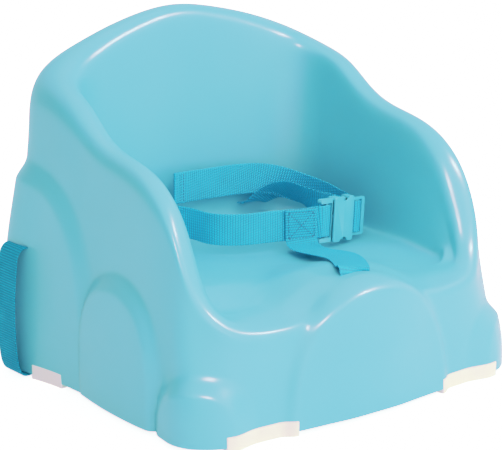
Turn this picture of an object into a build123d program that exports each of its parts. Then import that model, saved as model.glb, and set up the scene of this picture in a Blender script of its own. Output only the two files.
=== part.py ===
from build123d import *
import os
import numpy as np

# Booster seat for a child. Millimetres, +Z up, front of the seat towards -Y,
# symmetry plane X = 0. Z = 0 is the plane the four non-slip pads rest on.

# ---------------------------------------------------------------- driving dimensions
pad_drop = 4.5            # pads stand this far below the shell's bottom edge
y_shift = -3.9            # centres the outline front to back
wall = 3.0                # wall of the moulded shell
seat_z = 105.0            # seat floor above the shell's bottom edge
hump_rise = 13.5          # raised middle of the seat front over the floor
trough_drop = 6.0         # thigh troughs under the floor
floor_fillet = 10.0       # tub corner between floor and walls
tub_draft = 9.0           # how far the tub narrows from rim to floor
n_stations = 84           # sections lofted round half of the rim

webbing_w = 30.0          # belt webbing width
webbing_t = 1.4           # belt webbing thickness

# Stations round half of the rim, from the middle of the front to the middle of the back:
# rim x, y, z; inner roll radius; foot flare; 1 = open lip, 0 = walled; centre-line y of the
# section; outer roll radius; bow of the outer wall
stations = np.array([
 [0, -134, 119, 14, 13.5, 1.0, -44, 14, 0],
 [25, -134, 115, 13, 13.5, 1.0, -43.5, 13, 0],
 [42, -133, 107.5, 12, 13.5, 1.0, -43, 12, 0],
 [56, -132, 99, 10.5, 14, 1.0, -42, 10.5, 0],
 [70, -131, 94, 9.5, 14.5, 1.0, -41, 9.5, 0],
 [98, -128.5, 92, 9, 15.5, 1.0, -38, 9, 0],
 [124, -124.5, 95, 9, 18.5, 1.0, -34, 9, 1],
 [141, -117, 103, 9.5, 23, 0.6, -30, 10, 3],
 [151, -106, 120, 10, 26, 0.1, -26, 12, 5],
 [155.5, -96, 143, 11, 25, 0.0, -23, 14, 5],
 [157.5, -83, 172, 12, 21, 0.0, -20, 14, 4],
 [158, -63, 198, 13, 18.5, 0.0, -15, 14, 3],
 [157.5, -34, 215, 13, 16, 0.0, -7, 14, 2],
 [157, -4, 222, 13, 14, 0.0, 2, 13, 2],
 [156.5, 24, 229, 13, 13, 0.0, 11, 13, 2],
 [156, 45, 240, 13, 13, 0.0, 19, 13, 2],
 [154.5, 70, 257, 13, 14.5, 0.0, 27, 16, 1],
 [150, 96, 268, 13, 26, 0.0, 35, 21.5, 1],
 [134, 118.5, 280, 13, 46.0, 0.0, 42, 32, 7],
 [98, 133, 297, 13, 27, 0.0, 48, 20, 3],
 [50, 140, 311, 13, 17, 0.0, 51, 15, 1],
 [0, 142, 318, 13, 14, 0.0, 52, 14, 0],
], float)

# Arch-shaped bulges of the skirt: a point on the rim above the arch, half width, height,
# exponents of the outline across and up, flank height, crown, flank width
arches = [
    dict(at=(0, -134),   w=81.5, h=121.0, b=2.0, a=2.6, step=6.0,  crown=3.0, flank=18.0),
    dict(at=(150, -108), w=44.0, h=54.0,  b=2.2, a=2.6, step=8.0,  crown=4.0, flank=19.0),
    dict(at=(158, -12),  w=58.5, h=119.0, b=2.0, a=3.6, step=8.5,  crown=6.5, flank=17.0),
    dict(at=(140, 113),  w=92.0, h=190.0, b=2.4, a=2.6, step=7.5,  crown=4.0, flank=22.0),
]

os.makedirs("parts", exist_ok=True)


# ---------------------------------------------------------------- curve helpers
def cubic(x, y, xq):
    """Natural cubic spline through (x, y), y may have several columns."""
    x, y, xq = np.asarray(x, float), np.asarray(y, float), np.asarray(xq, float)
    n, h = len(x), np.diff(x)
    a = np.zeros((n, n))
    a[0, 0] = a[-1, -1] = 1
    for i in range(1, n - 1):
        a[i, i - 1], a[i, i], a[i, i + 1] = h[i - 1], 2 * (h[i - 1] + h[i]), h[i]
    b = np.zeros_like(y)
    b[1:-1] = 3 * ((y[2:] - y[1:-1]) / h[1:, None] - (y[1:-1] - y[:-2]) / h[:-1, None])
    c = np.linalg.solve(a, b)
    m = (y[1:] - y[:-1]) / h[:, None] - h[:, None] * (2 * c[:-1] + c[1:]) / 3
    d = (c[1:] - c[:-1]) / (3 * h[:, None])
    k = np.clip(np.searchsorted(x, xq) - 1, 0, n - 2)
    dx = (xq - x[k])[:, None]
    return y[k] + m[k] * dx + c[k] * dx ** 2 + d[k] * dx ** 3


def ease(a, b, x):
    t = np.clip((x - a) / (b - a), 0, 1)
    return t * t * (3 - 2 * t)


def seat_height(x, y):
    """Seat floor over the shell's bottom edge: flat, with a hump and two thigh troughs."""
    ax = np.abs(x)
    hump = hump_rise * (1 - ease(24, 88, ax)) * (1 - ease(-92, -25, y))
    trough = trough_drop * ease(30, 85, ax) * (1 - 0.6 * ease(128, 160, ax)) * (1 - ease(-95, -35, y))
    return seat_z + hump - trough


def rim_curve(count=1201):
    """Dense rim: arc length in plan and the station columns, mirrored at both ends."""
    pre, post = stations[1:4][::-1].copy(), stations[-4:-1][::-1].copy()
    pre[:, 0] *= -1
    post[:, 0] *= -1
    full = np.vstack([pre, stations, post])
    d = np.r_[0, np.cumsum(np.linalg.norm(np.diff(full[:, :2], axis=0), axis=1))]
    q = cubic(d, full, np.linspace(d[3], d[2 + len(stations)], count))
    q[0, 0] = q[-1, 0] = 0
    s = np.r_[0, np.cumsum(np.linalg.norm(np.diff(q[:, :2], axis=0), axis=1))]
    return s, q


def arch_push(u, z, length, centres):
    """How far the arches push the skirt out at rim position u and height z."""
    out = np.zeros(np.broadcast(u, z).shape)
    for arch, c0 in zip(arches, centres):
        for c in (c0, -c0, 2 * length - c0):
            across = np.abs(u - c) / arch["w"]
            up = np.maximum(z, 0) / arch["h"]
            f = 1 - across ** arch["b"] - up ** arch["a"]
            gx = arch["b"] * across ** (arch["b"] - 1) / arch["w"]
            gz = arch["a"] * up ** (arch["a"] - 1) / arch["h"]
            d = f / np.maximum(np.sqrt(gx ** 2 + gz ** 2), 0.25 / arch["w"])
            push = arch["step"] * ease(-0.35 * arch["flank"], 0.65 * arch["flank"], d)
            push = push + arch["crown"] * np.clip(f, 0, 1) * (1 - 0.3 * up)
            out = np.maximum(out, push)
    return out


def shell_sections(count):
    """Section planes and the outer line of each section, as (outward, height) points."""
    s, q = rim_curve()
    length = s[-1]
    u = np.linspace(0, length, count)
    st = np.stack([np.interp(u, s, q[:, k]) for k in range(q.shape[1])], 1)
    tan = np.gradient(q[:, :2], axis=0)
    tan = np.stack([np.interp(u, s, tan[:, k]) for k in range(2)], 1)
    tan[0], tan[-1] = (1, 0), (-1, 0)
    tan /= np.linalg.norm(tan, axis=1)[:, None]
    normal = np.stack([tan[:, 1], -tan[:, 0]], 1)
    rim, rim_z, r, flare = st[:, :2], st[:, 2], st[:, 3], st[:, 4]
    lip, ro, bow = np.clip(st[:, 5], 0, 1), st[:, 7], st[:, 8]
    rim[0, 0] = rim[-1, 0] = 0
    spine = np.stack([0 * u, st[:, 6]], 1)
    out = rim - spine
    reach = np.linalg.norm(out, axis=1)
    out /= reach[:, None]
    skew = 1 / np.clip((out * normal).sum(1), 0.55, 1)

    def pt(offset, height):
        return np.stack([offset * skew, height], 1)

    def floor_at(offset):
        xy = rim + out * (offset * skew)[:, None]
        return seat_height(xy[:, 0], xy[:, 1])

    k = 1.03
    pts = [pt(flare, 0 * rim_z)]
    top = rim_z - 2.6 * ro
    for f in (0.06, 0.3, 0.6, 0.85):
        pts.append(pt(flare * (1 - f) + k * ro * f + bow * 4 * f * (1 - f) + 0.9 * np.sin(np.pi * f), top * f))
    pts.append(pt(k * ro + bow * 0.1, rim_z - 1.75 * ro))
    pts.append(pt(k * ro * 1.02, rim_z - 0.95 * ro))
    pts.append(pt(0.80 * ro, rim_z - 0.16 * ro))
    pts.append(pt(0 * r, rim_z + 0.16 * r))
    foot = floor_at(-1.05 * r - tub_draft - floor_fillet)
    tall = np.maximum(rim_z - foot, 1.0)
    rv, fv = np.minimum(r, 0.28 * tall), np.minimum(floor_fillet, 0.35 * tall)
    base = foot + 0.95 * fv
    walled = [pt(-0.80 * r, rim_z - 0.16 * rv), pt(-1.02 * k * r, rim_z - 0.95 * rv)]
    for f in (0.1, 0.38, 0.7):
        walled.append(pt(-1.04 * r - tub_draft * f * 0.9, (rim_z - 1.8 * rv) * (1 - f) + base * f))
    walled.append(pt(-1.05 * r - tub_draft, base))
    walled.append(pt(-1.05 * r - tub_draft - 0.18 * floor_fillet, foot + 0.22 * fv))
    o = -1.05 * r - tub_draft - 0.95 * floor_fillet
    walled.append(pt(o, floor_at(o) + 0.02 * fv))
    opened = []
    for a, f in ((4.0, 0.28), (8.5, 0.56), (13.0, 0.77), (18.0, 0.92), (24.0, 1.0), (31.0, 1.0), (39.0, 1.0), (48.0, 1.0)):
        o = -a + 0 * r
        opened.append(pt(o, (rim_z + 0.16 * r) * (1 - f) + floor_at(o) * f))
    pts += [a * lip[:, None] + b * (1 - lip)[:, None] for a, b in zip(opened, walled)]
    last = pts[-1]
    for f in (0.2, 0.45, 0.72, 1.0):
        o = last[:, 0] * (1 - f) - reach * f
        xy = rim + out * o[:, None]
        pts.append(np.stack([o, seat_height(xy[:, 0], xy[:, 1])], 1))
    ctrl = np.stack(pts, 1)

    # points of the cubic B-spline over the control line: close together up the skirt
    c = np.concatenate([ctrl[:, :1], ctrl[:, :1], ctrl, ctrl[:, -1:], ctrl[:, -1:]], axis=1)
    spans = c.shape[1] - 3
    t = np.r_[0, np.linspace(1.2, 9, 38)[:-1], np.arange(9, spans + 0.25, 0.5)]
    i = np.minimum(t.astype(int), spans - 1)
    f = (t - i)[:, None]
    line = (c[:, i] * (1 - f) ** 3 + c[:, i + 1] * (3 * f ** 3 - 6 * f ** 2 + 4)
            + c[:, i + 2] * (3 * f ** 2 + 3 * f + 1 - 3 * f ** 3) + c[:, i + 3] * f ** 3) / 6

    centres = [s[np.argmin((q[:, 0] - a["at"][0]) ** 2 + (q[:, 1] - a["at"][1]) ** 2)] for a in arches]
    crest = 10 / (ctrl.shape[1] + 1.0)
    fade = 1 - ease(crest * 0.80, crest, t / spans)[None, :]
    push = arch_push(u[:, None] + 0 * line[..., 1], line[..., 1], length, centres)
    chord = np.cumsum(np.linalg.norm(np.diff(line, axis=1), axis=2), axis=1)
    share = np.r_[0, np.mean(chord / chord[:, -1:], axis=0)]
    return rim, out, line, push * fade * np.sqrt(skew)[:, None], share


def inner_line(line):
    """The section line moved inwards by the wall thickness, flat at the skirt's foot."""
    d = np.gradient(line, axis=0)
    d /= np.linalg.norm(d, axis=1)[:, None]
    inner = line + wall * np.stack([-d[:, 1], d[:, 0]], 1)
    inner[0] = line[0] - (wall, 0)
    inner[-1] = line[-1] - (0, wall)
    return inner


# ---------------------------------------------------------------- placing helpers
def at(x, y, z):
    """A point given over the shell's bottom edge, moved into the seat's own frame."""
    return Vector(x, y + y_shift, z + pad_drop)


_rim, _out, _line, _push, _ = shell_sections(401)
foot_outline = _rim + _out * (_line[:, 0, 0] + _push[:, 0])[:, None]


def foot_run(axis, low, high, count, offset):
    """Points of the skirt's foot between two coordinate values, moved outwards by offset."""
    span = foot_outline[:200] if axis == 0 else foot_outline[150:330]
    order = np.argsort(span[:, axis])
    v = np.linspace(low, high, count)
    other = np.interp(v, span[order, axis], span[order, 1 - axis])
    p = np.stack([v, other], 1) if axis == 0 else np.stack([other, v], 1)
    t = np.gradient(p, axis=0)
    t /= np.linalg.norm(t, axis=1)[:, None]
    n = np.stack([t[:, 1], -t[:, 0]], 1)
    return [(q[0], q[1] + y_shift) for q in p + n * offset]


def ribbon_frames(points, widths):
    """Planes across a ribbon: x along the webbing's width, z along its run."""
    p = np.array([tuple(v) for v in points], float)
    t = np.gradient(p, axis=0)
    t[1:-1] = (p[2:] - p[1:-1]) / np.linalg.norm(p[2:] - p[1:-1], axis=1)[:, None] + \
        (p[1:-1] - p[:-2]) / np.linalg.norm(p[1:-1] - p[:-2], axis=1)[:, None]
    planes = []
    for q, d, w in zip(p, t, np.array(widths, float)):
        d = d / np.linalg.norm(d)
        w = w - d * (w @ d)
        w = w / np.linalg.norm(w)
        planes.append(Plane(origin=tuple(q), x_dir=tuple(w), z_dir=tuple(d)))
    return planes


# ---------------------------------------------------------------- seat shell
pad_h = 9.5               # pad height above the shell's bottom edge
pad_gap = 0.3
front_pad = (84.5, 158.0)   # x range of a front pad
rear_pad = (72.0, 111.5)    # y range of a rear pad
waist_slot = (74.0, 116.0, 122.0)
crotch_slot_y = -121.0
chair_slot = (175.0, 130.0, 118.8)

rim_xy, out_xy, lines, pushes, knots = shell_sections(n_stations)
with BuildPart() as seat_shell:
    for k in range(n_stations):
        plane = Plane(origin=(rim_xy[k][0], rim_xy[k][1] + y_shift, pad_drop),
                      x_dir=(out_xy[k][0], out_xy[k][1], 0), z_dir=(out_xy[k][1], -out_xy[k][0], 0))
        outer, inner = lines[k].copy(), inner_line(lines[k])
        outer[:, 0] += pushes[k]
        inner[:, 0] += pushes[k]
        with BuildSketch(plane) as section:
            with BuildLine():
                add(Edge.make_spline([Vector(*p) for p in outer], parameters=list(knots)))
                Line(tuple(outer[-1]), tuple(inner[-1]))
                add(Edge.make_spline([Vector(*p) for p in inner[::-1]], parameters=list(1 - knots[::-1])))
                Line(tuple(inner[0]), tuple(outer[0]))
            make_face()
    loft()
    # notches in the bottom edge for the pads
    for axis, run in ((0, front_pad), (1, rear_pad)):
        lo, hi = run[0] - pad_gap, run[1] + pad_gap
        with BuildSketch(Plane.XY.offset(pad_drop - 2)) as notch:
            with BuildLine():
                outside = foot_run(axis, lo, hi, 9, 9.0)
                inside = foot_run(axis, lo, hi, 9, -14.0)
                Polyline(*outside, *inside[::-1], outside[0])
            make_face()
        extrude(amount=pad_h + pad_gap + 2, mode=Mode.SUBTRACT)
    # waist belt slot at the foot of the back
    with BuildSketch(Plane(origin=at(*waist_slot), x_dir=(1, 0, 0), z_dir=(0, -1, 0))) as slot_w:
        RectangleRounded(webbing_w + 4, 6.0, 2.6)
    extrude(amount=14, both=True, mode=Mode.SUBTRACT)
    # chair strap slot in the rear of the side
    with BuildSketch(Plane(origin=at(*chair_slot), x_dir=(0, 1, 0), z_dir=(1, 0, 0))) as slot_c:
        RectangleRounded(webbing_w + 4, 6.0, 2.6)
    extrude(amount=30, both=True, mode=Mode.SUBTRACT)
    mirror(about=Plane.YZ)
    # crotch strap slot in the raised front
    with BuildSketch(Plane.XY.offset(100 + pad_drop)) as slot_f:
        with Locations((0, crotch_slot_y + y_shift)):
            RectangleRounded(webbing_w + 3.5, 5.0, 2.4)
    extrude(amount=40, mode=Mode.SUBTRACT)
seat_shell.part.label = "seat_shell"
export_step(seat_shell.part, "parts/seat_shell.step")

# ---------------------------------------------------------------- non-slip pads
with BuildPart() as front_right_pad:
    with BuildSketch(Plane.XY) as outline:
        with BuildLine():
            outside = foot_run(0, front_pad[0], front_pad[1], 9, 0.4)
            inside = foot_run(0, front_pad[0], front_pad[1], 9, -9.0)
            Polyline(*outside, *inside[::-1], outside[0])
        make_face()
    extrude(amount=pad_drop + pad_h)
    chamfer(front_right_pad.faces().sort_by(Axis.Z)[0].edges(), 0.8)
front_right_pad.part.label = "front_right_pad"
export_step(front_right_pad.part, "parts/front_right_pad.step")

with BuildPart() as front_left_pad:
    add(front_right_pad.part.mirror(Plane.YZ))
front_left_pad.part.label = "front_left_pad"
export_step(front_left_pad.part, "parts/front_left_pad.step")

with BuildPart() as rear_right_pad:
    with BuildSketch(Plane.XY) as outline:
        with BuildLine():
            outside = foot_run(1, rear_pad[0], rear_pad[1], 7, 0.4)
            inside = foot_run(1, rear_pad[0], rear_pad[1], 7, -9.0)
            Polyline(*outside, *inside[::-1], outside[0])
        make_face()
    extrude(amount=pad_drop + pad_h)
    chamfer(rear_right_pad.faces().sort_by(Axis.Z)[0].edges(), 0.8)
rear_right_pad.part.label = "rear_right_pad"
export_step(rear_right_pad.part, "parts/rear_right_pad.step")

with BuildPart() as rear_left_pad:
    add(rear_right_pad.part.mirror(Plane.YZ))
rear_left_pad.part.label = "rear_left_pad"
export_step(rear_left_pad.part, "parts/rear_left_pad.step")

# ---------------------------------------------------------------- side-release buckle, local frame
# x from the socket's mouth towards its end bar, y across the webbing, z out of the front face
with BuildPart() as plug_master:
    with BuildSketch(Plane.XY.offset(-2.2)):          # flange against the socket's mouth
        with Locations((-0.85, 0)):
            Rectangle(1.1, 40.6)
    extrude(amount=4.4)
    with BuildSketch(Plane.XY.offset(-2.6)):          # side horns beside the webbing
        with Locations((-8.1, 18.4), (-8.1, -18.4)):
            RectangleRounded(15.6, 4.0, 1.8)
    extrude(amount=5.2)
    with BuildSketch(Plane.XY.offset(-1.3)):          # bar the webbing is looped round
        with Locations((-6.8, 0)):
            Rectangle(2.8, 36.0)
    extrude(amount=2.6)
    with BuildSketch(Plane.XY.offset(-1.5)):          # guide tongue and the roots of the arms
        with Locations((10.5, 0)):
            RectangleRounded(22.6, 9.0, 2.0)
        with Locations((0.6, 13.4), (0.6, -13.4)):
            Rectangle(2.4, 5.0)
    extrude(amount=3.0)

with BuildPart() as arm_master:                        # upper release arm, root at x = 2.1
    with BuildSketch(Plane.XY.offset(-1.5)):
        with BuildLine():
            Polyline((2.1, 11.4), (2.1, 14.9), (8.6, 15.6), (10.2, 20.2), (17.0, 20.2), (18.2, 16.4),
                     (21.4, 15.6), (22.4, 13.2), (20.6, 12.2), (2.1, 11.4))
        make_face()
    extrude(amount=3.0)
    fillet(arm_master.edges().filter_by(Axis.Z).group_by(Axis.Y)[-1], 1.2)

with BuildPart() as socket_master:
    with BuildSketch(Plane.XY.offset(-5.2)):
        with Locations((13.0, 0)):
            RectangleRounded(26.0, 42.4, 2.2)
    extrude(amount=10.4)
    fillet(socket_master.faces().sort_by(Axis.Z)[-1].edges(), 1.0)
    fillet(socket_master.faces().sort_by(Axis.Z)[0].edges(), 1.0)
    with BuildSketch(Plane.XY.offset(-1.5)):           # end frame with two slots
        with Locations((34.5, 0)):
            RectangleRounded(19.0, 36.0, 2.0)
    extrude(amount=3.0)
    with BuildSketch(Plane.XY.offset(-3.4)):           # hollow that takes the plug
        with Locations((11.0, 0)):
            Rectangle(26.0, 38.4)
    extrude(amount=6.8, mode=Mode.SUBTRACT)
    with BuildSketch(Plane.XY.offset(-3.4)):           # side openings for the arms' pads
        with Locations((13.7, 20), (13.7, -20)):
            Rectangle(9.4, 8.0)
    extrude(amount=6.8, mode=Mode.SUBTRACT)
    with BuildSketch(Plane.XY.offset(-6)):             # thumb notches in both faces
        with Locations((13.7, 22.6), (13.7, -22.6)):
            Circle(5.6)
    extrude(amount=12, mode=Mode.SUBTRACT)
    with BuildSketch(Plane.XY.offset(-6)):             # webbing slots either side of the middle bar
        with Locations((29.4, 0), (37.9, 0)):
            Rectangle(4.2, 31.6)
    extrude(amount=12, mode=Mode.SUBTRACT)

# ---------------------------------------------------------------- waist buckle
waist_plane = Plane(origin=at(68.8, -10.3, 130.7), x_dir=(0.9926, 0.0921, -0.0787), z_dir=(0.0935, -0.9955, 0.0141))
with BuildPart() as waist_buckle_plug:
    add(plug_master.part.moved(waist_plane.location))
waist_buckle_plug.part.label = "waist_buckle_plug"
export_step(waist_buckle_plug.part, "parts/waist_buckle_plug.step")

with BuildPart() as waist_release_upper:
    add(arm_master.part.moved(waist_plane.location))
waist_release_upper.part.label = "waist_release_upper"
export_step(waist_release_upper.part, "parts/waist_release_upper.step")

with BuildPart() as waist_release_lower:
    add(arm_master.part.mirror(Plane.XZ).moved(waist_plane.location))
waist_release_lower.part.label = "waist_release_lower"
export_step(waist_release_lower.part, "parts/waist_release_lower.step")

with BuildPart() as waist_buckle_socket:
    add(socket_master.part.moved(waist_plane.location))
waist_buckle_socket.part.label = "waist_buckle_socket"
export_step(waist_buckle_socket.part, "parts/waist_buckle_socket.step")

# ---------------------------------------------------------------- chair buckle, under the seat
chair_z = 5.0
chair_plane = Plane(origin=at(-14, 130, chair_z), x_dir=(1, 0, 0), z_dir=(0, 0, -1))
with BuildPart() as chair_buckle_plug:
    add(plug_master.part.moved(chair_plane.location))
chair_buckle_plug.part.label = "chair_buckle_plug"
export_step(chair_buckle_plug.part, "parts/chair_buckle_plug.step")

with BuildPart() as chair_release_front:
    add(arm_master.part.moved(chair_plane.location))
chair_release_front.part.label = "chair_release_front"
export_step(chair_release_front.part, "parts/chair_release_front.step")

with BuildPart() as chair_release_rear:
    add(arm_master.part.mirror(Plane.XZ).moved(chair_plane.location))
chair_release_rear.part.label = "chair_release_rear"
export_step(chair_release_rear.part, "parts/chair_release_rear.step")

with BuildPart() as chair_buckle_socket:
    add(socket_master.part.moved(chair_plane.location))
chair_buckle_socket.part.label = "chair_buckle_socket"
export_step(chair_buckle_socket.part, "parts/chair_buckle_socket.step")


# ---------------------------------------------------------------- webbing paths
def waist_point(e, n):
    """A point on the waist buckle's middle line: e along it, n out of its front."""
    return waist_plane.from_local_coords(Vector(e, 0, n))


up = (0, 0, 1)
buckle_up = (0.077, 0.021, 0.997)
# left: looped round its anchor bar behind the slot, through the slot, twisting upright, then
# forward to the plug, round the plug's bar and back on itself
left_points = [at(-74, 121.5, 117.2), at(-74, 126, 117.3), at(-74, 131, 118.2), at(-74, 134.2, 119.8), at(-74, 135.4, 122),
               at(-74, 134.2, 124.2), at(-74, 131, 125.8), at(-74, 127, 124.9), at(-74, 121, 122.5), at(-74, 112, 122.2),
               at(-73, 103, 123.4), at(-69.5, 94, 126), at(-62, 85, 129), at(-52.5, 76, 130.5),
               at(-44, 66, 130.5), at(-39.5, 53, 130), at(-37.3, 40, 129.5), at(-32, 29.5, 129.5), at(-23, 21, 129.5),
               at(-10, 13.8, 129.5), at(5, 9, 129.6), at(18, 5, 129.7), at(30, 0, 129.9), at(41, -5.5, 130.2),
               at(49.5, -9, 130.8), waist_point(-13, 2.9), waist_point(-9, 2.9), waist_point(-6.6, 2.9), waist_point(-4.3, 2.3),
                   waist_point(-3.2, 0), waist_point(-4.3, -2.3), waist_point(-6.6, -2.9), waist_point(-10, -2.5),
                   waist_point(-15, -0.9), waist_point(-22, 0.1)]
left_widths = [(1, 0, 0)] * 10 + [(0.97, 0, 0.2), (0.8, 0.2, 0.5), (0.55, 0.2, 0.8), (0.2, 0, 1)] + [up] * 10 + [buckle_up] * 10
with BuildPart() as waist_strap_left:
    for plane in ribbon_frames(left_points, left_widths):
        with BuildSketch(plane) as cut:
            Rectangle(webbing_w, webbing_t)
    loft(ruled=True)
waist_strap_left.part.label = "waist_strap_left"
export_step(waist_strap_left.part, "parts/waist_strap_left.step")

# right: anchor loop, slot, twisting upright, through the socket's two slots, then the free tail
right_points = [at(74, 121.5, 117.2), at(74, 126, 117.3), at(74, 131, 118.2), at(74, 134.2, 119.8), at(74, 135.4, 122),
                at(74, 134.2, 124.2), at(74, 131, 125.8), at(74, 127, 124.9), at(74, 121, 122.5), at(74, 111, 122.2),
                at(79, 104, 127), at(85, 97, 132), at(89.5, 85, 135), at(91.5, 73, 136.6), at(91, 58, 136),
                at(90.8, 40, 133), at(93.5, 24, 130.8), at(96.5, 9, 129.6), waist_point(28.9, -9), waist_point(29.2, -3),
                waist_point(29.3, 0), waist_point(30.2, 2.3), waist_point(32, 3.0), waist_point(35.3, 3.0), waist_point(37.1, 2.3),
                waist_point(38.0, 0), waist_point(38.2, -3), waist_point(39.0, -9), at(109.5, 10, 128.8), at(112, 24, 130),
                at(113.2, 41, 132), at(111.5, 60, 134.4), at(104, 78, 138), at(91, 92, 143), at(74, 99, 147), at(54, 101, 149.5),
                at(30, 101, 151), at(5, 100.5, 152), at(-18, 100, 153), at(-30.5, 100, 153.4)]
right_widths = [(-1, 0, 0)] * 10 + [(-0.975, -0.02, 0.22), (-0.88, -0.1, 0.47), (-0.74, 0.02, 0.67), (-0.62, 0, 0.78),
                (-0.5, 0, 0.86), (-0.28, 0, 0.96), (-0.08, 0, 1), up] + [buckle_up] * 10 + [up] * 12
with BuildPart() as waist_strap_right:
    for plane in ribbon_frames(right_points, right_widths):
        with BuildSketch(plane) as cut:
            Rectangle(webbing_w, webbing_t)
    loft(ruled=True)
waist_strap_right.part.label = "waist_strap_right"
export_step(waist_strap_right.part, "parts/waist_strap_right.step")

# crotch strap: sewn on the front of the left waist strap, down to the raised front, through its slot
crotch_points = [at(36.6, -5.9, 145.0), at(36.7, -5.9, 138), at(36.9, -5.9, 129), at(37.0, -6.1, 120), at(36.9, -7.0, 115.4), at(36.2, -9.6, 112.9), at(35, -14, 111.7), at(33.9, -22, 111.3), at(32.4, -33, 112.2), at(30.5, -47, 114.4), at(28.6, -61, 116.6),
                 at(25.5, -76, 118.6), at(18, -93, 120.4), at(9.5, -107, 121.7), at(4, -115.5, 122.2), at(1, -119.6, 121.2),
                 at(0, -121.2, 118.4), at(0, -121.6, 108), at(0, -122, 98.4), at(0, -120.7, 95.0), at(0, -118, 93.6),
                 at(0, -115.3, 95.0), at(0, -114.2, 98.4), at(0, -115.6, 103), at(0, -117.4, 107), at(0, -118.4, 111)]
crotch_widths = [(0.907, -0.42, 0)] * 7 + [(0.93, -0.35, 0), (0.95, -0.29, 0), (0.98, -0.17, 0), (1, -0.05, 0)] + [(1, 0, 0)] * 15
with BuildPart() as crotch_strap:
    for plane in ribbon_frames(crotch_points, crotch_widths):
        with BuildSketch(plane) as cut:
            Rectangle(webbing_w, webbing_t)
    loft(ruled=True)
crotch_strap.part.label = "crotch_strap"
export_step(crotch_strap.part, "parts/crotch_strap.step")

# chair strap: looped round an anchor bar inside the skirt, out of the side slot, bowed down the
# outside and under the skirt to the buckle
side_points = [at(161, 130, 114.2), at(156.5, 130, 114.2), at(153, 130, 115.4), at(151.4, 130, 118.8), at(153, 130, 122.2), at(156.5, 130, 123.2),
               at(162, 130, 121.4), at(168, 130, 119.4), at(180, 130, 119.0), at(189.6, 130, 118.6), at(193.6, 130, 114.5), at(196.2, 130, 103),
               at(197.8, 130, 88), at(199.0, 130, 71), at(199.4, 130, 52), at(198.8, 130, 31), at(197.2, 130, 14), at(194.4, 130, 3.4), at(190.6, 130, -1.1),
               at(184, 130, -1.75), at(166, 130, -1.7), at(140, 130, -1.7)]
chair_right_points = side_points + [at(125, 130, -0.6), at(112, 130, 0.4), at(90, 130, 0.8), at(60, 130, 0.9), at(42, 130, 1.1),
                at(30, 130, 1.5), at(26.6, 130, 1.7), at(24.7, 130, 2.8), at(24.0, 130, 5.0), at(23.1, 130, 7.3),
                at(21.3, 130, 8.0), at(18.0, 130, 8.0), at(16.2, 130, 7.3), at(15.3, 130, 5.0), at(15.4, 130, 1.6),
                at(16.8, 130, -0.6), at(21.0, 130, -1.6), at(40, 130, -1.7), at(66, 130, -1.7)]
with BuildPart() as chair_strap_right:
    for plane in ribbon_frames(chair_right_points, [(0, 1, 0)] * len(chair_right_points)):
        with BuildSketch(plane) as cut:
            Rectangle(webbing_w, webbing_t)
    loft(ruled=True)
chair_strap_right.part.label = "chair_strap_right"
export_step(chair_strap_right.part, "parts/chair_strap_right.step")

chair_left_points = [at(-p.X, p.Y - y_shift, p.Z - pad_drop) for p in side_points] + [
    at(-110, 130, -1.2), at(-70, 130, 0.2), at(-40, 130, 1.6), at(-28, 130, 1.9), at(-23, 130, 2.1), at(-20.6, 130, 2.1),
    at(-18.3, 130, 2.7), at(-17.2, 130, 5.0), at(-18.3, 130, 7.3), at(-20.6, 130, 7.9), at(-24, 130, 7.5),
    at(-30, 130, 5.6), at(-38, 130, 4.4), at(-46, 130, 4.0)]
with BuildPart() as chair_strap_left:
    for plane in ribbon_frames(chair_left_points, [(0, 1, 0)] * len(chair_left_points)):
        with BuildSketch(plane) as cut:
            Rectangle(webbing_w, webbing_t)
    loft(ruled=True)
chair_strap_left.part.label = "chair_strap_left"
export_step(chair_strap_left.part, "parts/chair_strap_left.step")

# keeper that slides along the doubled chair strap and holds its tail
with BuildPart() as chair_strap_keeper:
    with BuildSketch(Plane(origin=at(72, 130, -0.2), x_dir=(0, 1, 0), z_dir=(1, 0, 0))) as ring:
        RectangleRounded(38.0, 8.0, 2.4)
        RectangleRounded(32.0, 4.9, 1.0, mode=Mode.SUBTRACT)
    extrude(amount=8)
chair_strap_keeper.part.label = "chair_strap_keeper"
export_step(chair_strap_keeper.part, "parts/chair_strap_keeper.step")


# ---------------------------------------------------------------- anchor bars behind the slots
with BuildPart() as bar_master:                         # along X, wider than any slot
    with BuildSketch(Plane.YZ.offset(-21)):
        Circle(1.6)
    extrude(amount=42)
    with BuildSketch(Plane.YZ.offset(-21)):
        Circle(3.6)
    extrude(amount=3.5)
    with BuildSketch(Plane.YZ.offset(17.5)):
        Circle(3.6)
    extrude(amount=3.5)

with BuildPart() as waist_anchor_right:
    add(bar_master.part.moved(Location(at(74, 131, 122))))
waist_anchor_right.part.label = "waist_anchor_right"
export_step(waist_anchor_right.part, "parts/waist_anchor_right.step")

with BuildPart() as waist_anchor_left:
    add(bar_master.part.moved(Location(at(-74, 131, 122))))
waist_anchor_left.part.label = "waist_anchor_left"
export_step(waist_anchor_left.part, "parts/waist_anchor_left.step")

with BuildPart() as crotch_anchor:
    add(bar_master.part.moved(Location(at(0, -118, 97.8))))
crotch_anchor.part.label = "crotch_anchor"
export_step(crotch_anchor.part, "parts/crotch_anchor.step")

turned = bar_master.part.rotate(Axis.Z, 90)
with BuildPart() as chair_anchor_right:
    add(turned.moved(Location(at(156.2, 130, 118.7))))
chair_anchor_right.part.label = "chair_anchor_right"
export_step(chair_anchor_right.part, "parts/chair_anchor_right.step")

with BuildPart() as chair_anchor_left:
    add(turned.moved(Location(at(-156.2, 130, 118.7))))
chair_anchor_left.part.label = "chair_anchor_left"
export_step(chair_anchor_left.part, "parts/chair_anchor_left.step")
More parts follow.
